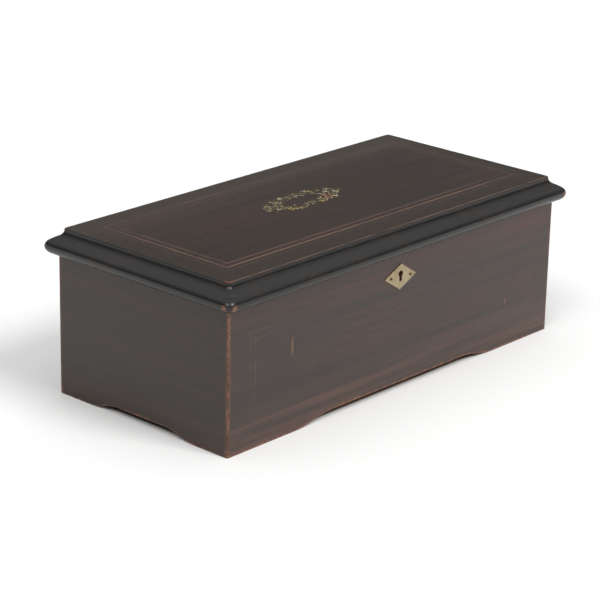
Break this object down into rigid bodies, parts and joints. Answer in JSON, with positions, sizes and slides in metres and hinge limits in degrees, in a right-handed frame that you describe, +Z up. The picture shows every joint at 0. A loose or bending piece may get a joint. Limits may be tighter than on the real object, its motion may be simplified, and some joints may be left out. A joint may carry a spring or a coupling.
{
  "type": "wind up music box",
  "caption": "Dark veneered cylinder music box with a hinged moulded lid, inner glass lid, lever-wound spring barrel, pinned cylinder, comb and governor.",
  "frame": {"origin": "middle of the footprint, on the table", "axes": "+X along the front to the right, +Y to the back, +Z up"},
  "size_m": [0.4404, 0.2174, 0.1466],
  "materials": {
    "veneer": "dark grained veneer, polished",
    "ebonised": "ebonised, polished",
    "inner_wood": "bare wood",
    "brass": "satin",
    "old_brass": "dull",
    "steel": "satin",
    "blued_steel": "blued",
    "bronzed_iron": "bronze paint",
    "lead": "dull",
    "glass": "clear",
    "card": "matte",
    "bone": "polished bone"
  },
  "bodies": {
    "case": {"front_board": "veneer", "back_board": "veneer", "left_end_board": "veneer", "right_end_board": "veneer", "floor_board": "inner_wood", "left_partition": "inner_wood", "right_partition": "inner_wood", "escutcheon": "old_brass", "escutcheon_pins": "old_brass", "lock_case": "old_brass", "hinge_case_leaves": "brass", "hinge_pins": "steel", "bedplate": "bronzed_iron", "bedplate_screws": "steel", "barrel_left_cock": "brass", "barrel_right_cock": "brass", "cylinder_left_cock": "brass", "cylinder_right_cock": "brass", "comb_base": "bronzed_iron", "comb": "steel", "comb_screws": "blued_steel", "bass_weights": "lead", "governor_frame": "brass", "governor_plate": "brass", "governor_cock": "brass", "lever_bracket": "brass", "glass_lid_pivots": "steel"},
    "lid": {"lid_panel": "veneer", "lid_moulding_front": "ebonised", "lid_moulding_back": "ebonised", "lid_moulding_left": "ebonised", "lid_moulding_right": "ebonised", "hinge_lid_leaves": "brass", "lid_catch": "old_brass", "tune_card": "card"},
    "glass_lid": {"glass_lid_frame": "inner_wood", "glass_pane": "glass"},
    "bolt": {"lock_bolt": "steel"},
    "lever": {"winding_lever": "steel", "lever_grip": "inner_wood", "lever_pawl": "steel"},
    "winding": {"winding_arbor": "steel", "click_wheel": "steel", "lever_ratchet": "steel"},
    "barrel": {"spring_barrel": "brass", "mainspring": "blued_steel"},
    "click": {"click": "steel"},
    "cylinder_drive": {"cylinder_arbor": "steel", "great_wheel": "brass"},
    "snail": {"tune_snail": "brass"},
    "cylinder": {"music_cylinder": "brass", "cylinder_pins": "steel"},
    "first_governor_wheel": {"first_wheel": "brass"},
    "second_governor_wheel": {"second_wheel": "brass"},
    "fan": {"endless_screw": "steel", "air_brake_fan": "brass"},
    "start": {"start_lever": "steel", "start_knob": "bone"},
    "change": {"change_lever": "steel", "change_knob": "bone"}
  },
  "joints": [
    {"name": "lid_hinge", "type": "hinge", "parent": "case", "child": "lid", "pos_m": [0, 0.0995, 0.1251], "axis": [-1, 0, 0], "range_deg": [0, 100]},
    {"name": "glass_lid_hinge", "type": "hinge", "parent": "case", "child": "glass_lid", "pos_m": [0, 0.078, 0.114], "axis": [-1, 0, 0], "range_deg": [0, 80]},
    {"name": "lock_bolt_slide", "type": "slide", "parent": "case", "child": "bolt", "axis": [1, 0, 0], "range_m": [0, 0.005]},
    {"name": "winding_lever_pull", "type": "hinge", "parent": "case", "child": "lever", "pos_m": [-0.1695, 0.0433, 0.064], "axis": [-1, 0, 0], "range_deg": [0, 52]},
    {"name": "winding_arbor_turn", "type": "hinge", "parent": "case", "child": "winding", "pos_m": [-0.134, 0.0433, 0.064], "axis": [-1, 0, 0], "range_deg": [0, 52]},
    {"name": "click_lift", "type": "hinge", "parent": "case", "child": "click", "pos_m": [-0.149, 0.0573, 0.081], "axis": [-1, 0, 0], "range_deg": [-6, 10]},
    {"name": "cylinder_turn", "type": "hinge", "parent": "case", "child": "cylinder_drive", "pos_m": [0, 0.006, 0.064], "axis": [-1, 0, 0], "continuous": true},
    {"name": "barrel_turn", "type": "hinge", "parent": "case", "child": "barrel", "pos_m": [-0.118, 0.0433, 0.064], "axis": [1, 0, 0], "continuous": true},
    {"name": "first_wheel_turn", "type": "hinge", "parent": "case", "child": "first_governor_wheel", "pos_m": [0.1, 0.03522, 0.07464], "axis": [1, 0, 0], "continuous": true},
    {"name": "second_wheel_turn", "type": "hinge", "parent": "case", "child": "second_governor_wheel", "pos_m": [0.11, 0.05394, 0.07134], "axis": [-1, 0, 0], "continuous": true},
    {"name": "fan_turn", "type": "hinge", "parent": "case", "child": "fan", "pos_m": [0.1126, 0.06324, 0.066], "axis": [0, 0, 1], "continuous": true},
    {"name": "tune_snail_turn", "type": "hinge", "parent": "cylinder_drive", "child": "snail", "pos_m": [0.072, 0.006, 0.076], "axis": [-1, 0, 0], "range_deg": [0, 300]},
    {"name": "cylinder_shift", "type": "slide", "parent": "cylinder_drive", "child": "cylinder", "axis": [-1, 0, 0], "range_m": [0, 0.002]},
    {"name": "start_lever_swing", "type": "hinge", "parent": "case", "child": "start", "pos_m": [0.128, -0.044, 0.062], "axis": [0, 0, 1], "range_deg": [0, 16]},
    {"name": "change_lever_swing", "type": "hinge", "parent": "case", "child": "change", "pos_m": [0.128, -0.022, 0.062], "axis": [0, 0, 1], "range_deg": [0, 16]}
  ],
  "couplings": [
    {"joint": "glass_lid_hinge", "follows": "lid_hinge", "ratio": 0.8},
    {"joint": "winding_arbor_turn", "follows": "winding_lever_pull", "ratio": 1},
    {"joint": "barrel_turn", "follows": "cylinder_turn", "ratio": 0.24},
    {"joint": "first_wheel_turn", "follows": "cylinder_turn", "ratio": 4.1667},
    {"joint": "second_wheel_turn", "follows": "cylinder_turn", "ratio": 14.583},
    {"joint": "fan_turn", "follows": "cylinder_turn", "ratio": 291.67},
    {"joint": "tune_snail_turn", "follows": "cylinder_shift", "rad_per_m": 2618}
  ]
}
